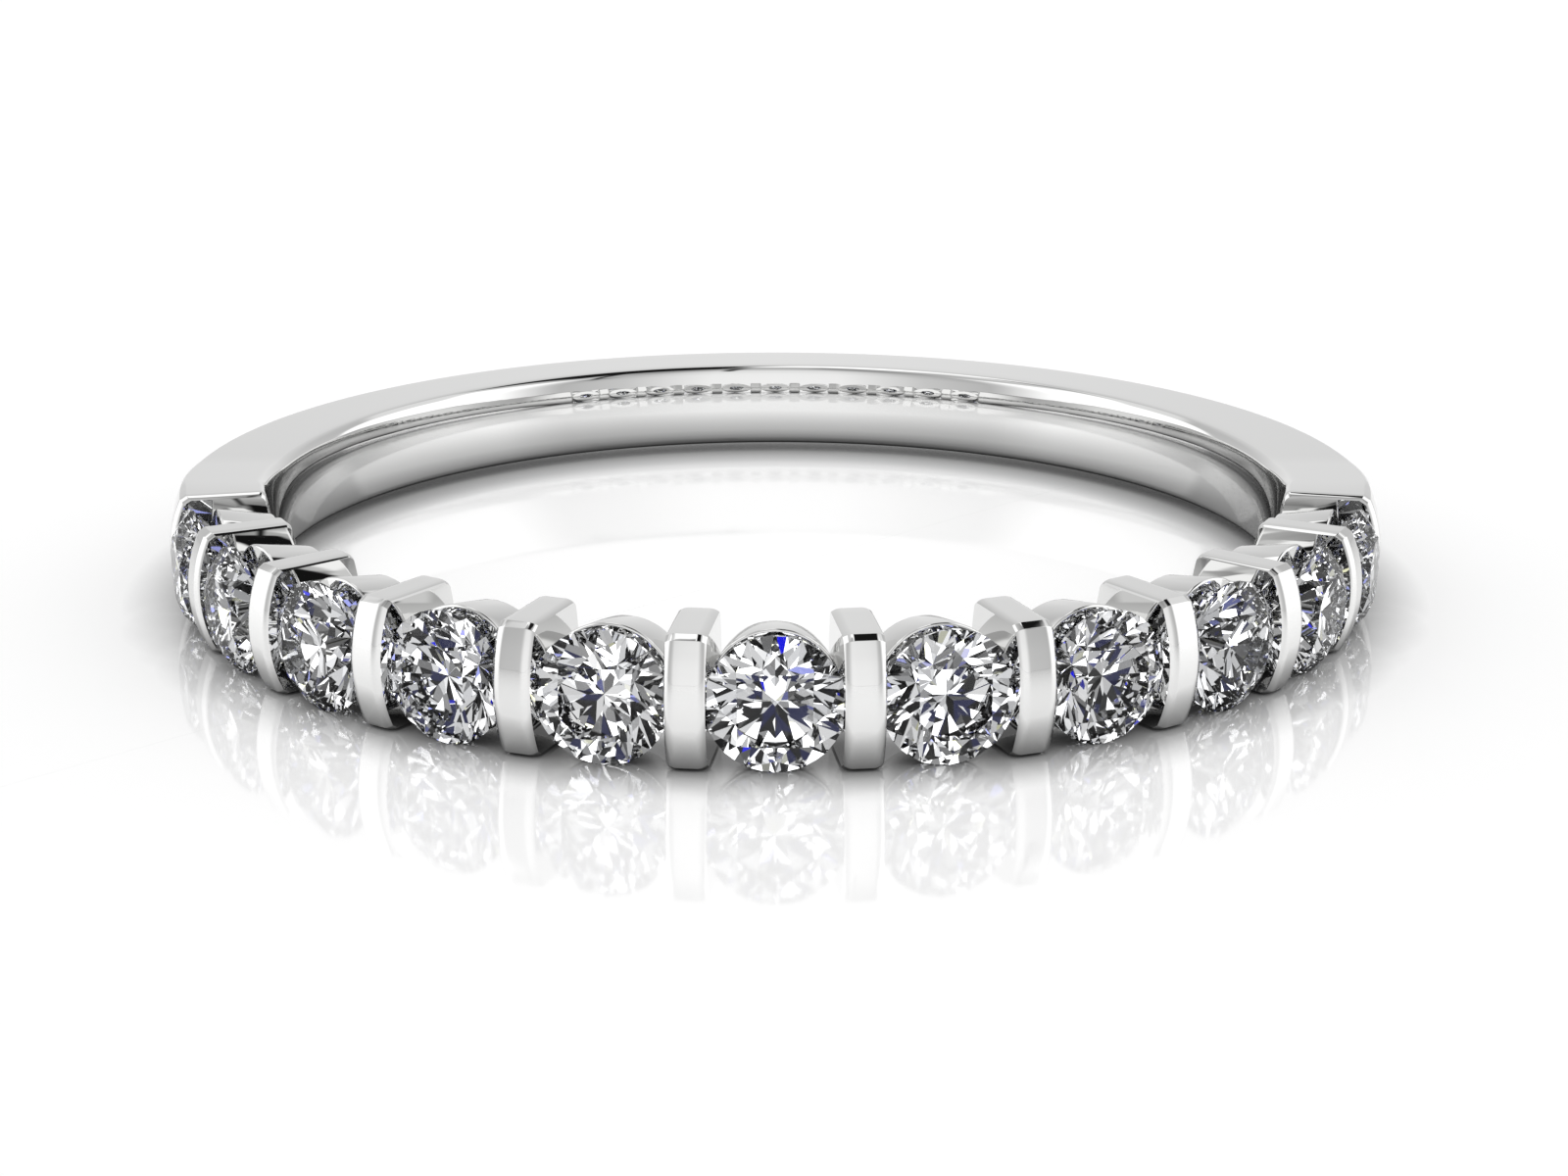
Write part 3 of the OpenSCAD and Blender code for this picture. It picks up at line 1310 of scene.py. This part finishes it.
    def _mask(self, w: Wiring, card: Card, flat_x: Socket, flat_y: Socket) -> Socket:
        """Where a card covers the tent.

        Args:
            w: The world's wiring.
            card: The card.
            flat_x: The place on the flat tent, to the right.
            flat_y: The place on the flat tent, towards the camera.

        Returns:
            1 on the card and 0 off it.
        """
        lean = math.radians(card.turn)
        from_x = w.maths(Maths.SUBTRACT, flat_x, card.centre[0])
        from_y = w.maths(Maths.SUBTRACT, flat_y, card.centre[1])
        sides = (
            (math.cos(lean), math.sin(lean), card.half[0]),
            (-math.sin(lean), math.cos(lean), card.half[1]),
        )
        masks = []
        for part_x, part_y, half in sides:
            along = w.maths(Maths.MULTIPLY_ADD, from_y, part_y, w.maths(Maths.MULTIPLY, from_x, part_x))
            masks.append(w.between(w.maths(Maths.ABSOLUTE, along), half + card.soft, half - card.soft))
        return w.maths(Maths.MULTIPLY, *masks)

    def _sparkle(self, w: Wiring, direction: Socket) -> Socket:
        """The many small lamps and gaps that a stone gathers, as cells of light and dark.

        Blue looks in a slightly different direction, so that each cell's edge breaks into blue and
        yellow, and a few of the cells are blue lamps.

        Args:
            w: The world's wiring.
            direction: Where a ray looks.

        Returns:
            The colour there.
        """
        plain = self._cells(w, direction)
        parted = self._cells(w, w.fed("ShaderNodeMapping", {"Vector": direction, "Location": self.fire}))
        white, other = (w.ramp(cells.outputs[0], self.sparkle) for cells in (plain, parted))
        joined = w.fed("ShaderNodeCombineColor", {0: white, 1: white, 2: other})
        blue = w.maths(Maths.GREATER_THAN, plain.outputs[1], 1 - self.blue_share)
        coloured = w.mix(self.fire_strength, white, joined)
        return w.times(coloured, w.mix(blue, grey(1.0), self.blue))

    def _cells(self, w: Wiring, place: Socket) -> Node:
        """Random numbers that are the same all over each cell, as a node's outputs.

        Args:
            w: The world's wiring.
            place: Where the pattern is read.

        Returns:
            The node that gives the numbers.
        """
        cells = w.node("ShaderNodeTexVoronoi")
        cells.inputs["Scale"].default_value = self.sparkle_size
        w.feed(cells.inputs["Vector"], place)
        split = w.node("ShaderNodeSeparateColor")
        w.feed(split.inputs[0], cells.outputs["Color"])
        return split


@dataclass
class Studio:
    """Floor, light and camera.

    The floor's size and the camera's place are in metres, and its tilt is from straight down.
    """

    floor_half: float = 3.0
    lens: float = 58.25
    sensor: float = 36.0
    camera_place: Triple = (0.0, -0.043107, 0.012647)
    camera_tilt: float = 73.16
    # In widths of the frame, which is 1600 pixels
    shift: Pair = (9 / 1600, 2.5 / 1600)
    bounces: int = 14

    def build(self) -> None:
        """Lays the floor, lights the studio and places the camera."""
        self._floor()
        LightTent().build()
        self._camera()

    def _floor(self) -> None:
        """A wide level surface under the ring."""
        half = self.floor_half
        mesh = bpy.data.meshes.new("floor")
        corners = [(-half, -half, 0), (half, -half, 0), (half, half, 0), (-half, half, 0)]
        mesh.from_pydata(corners, [], [(0, 1, 2, 3)])
        add_object(mesh, GlossyWhiteSurface().material())

    def _camera(self) -> None:
        """The camera, in front of the head and a little above it."""
        data = bpy.data.cameras.new("camera")
        data.lens, data.sensor_width = self.lens, self.sensor
        data.shift_x, data.shift_y = self.shift
        data.clip_start = MM
        camera = add_object(data)
        camera.location = self.camera_place
        camera.rotation_euler = (math.radians(self.camera_tilt), 0, 0)
        scene = bpy.context.scene
        scene.camera = camera
        scene.view_settings.view_transform = "Standard"
        scene.cycles.max_bounces = scene.cycles.transmission_bounces = self.bounces
        scene.cycles.glossy_bounces = self.bounces
        scene.cycles.caustics_reflective = scene.cycles.caustics_refractive = False


def main() -> None:
    """Builds the ring and its studio, piece by piece."""
    logging.basicConfig(level=logging.INFO, format="%(message)s")
    stones = Stones()
    sizes = RingSizes.from_frame(stones.names)
    log.info("sizes: %s", sizes)
    Band(sizes).build(PolishedWhiteMetal().material())
    stones.dress(CutStone().material())
    Studio().build()


if __name__ == "__main__":
    main()
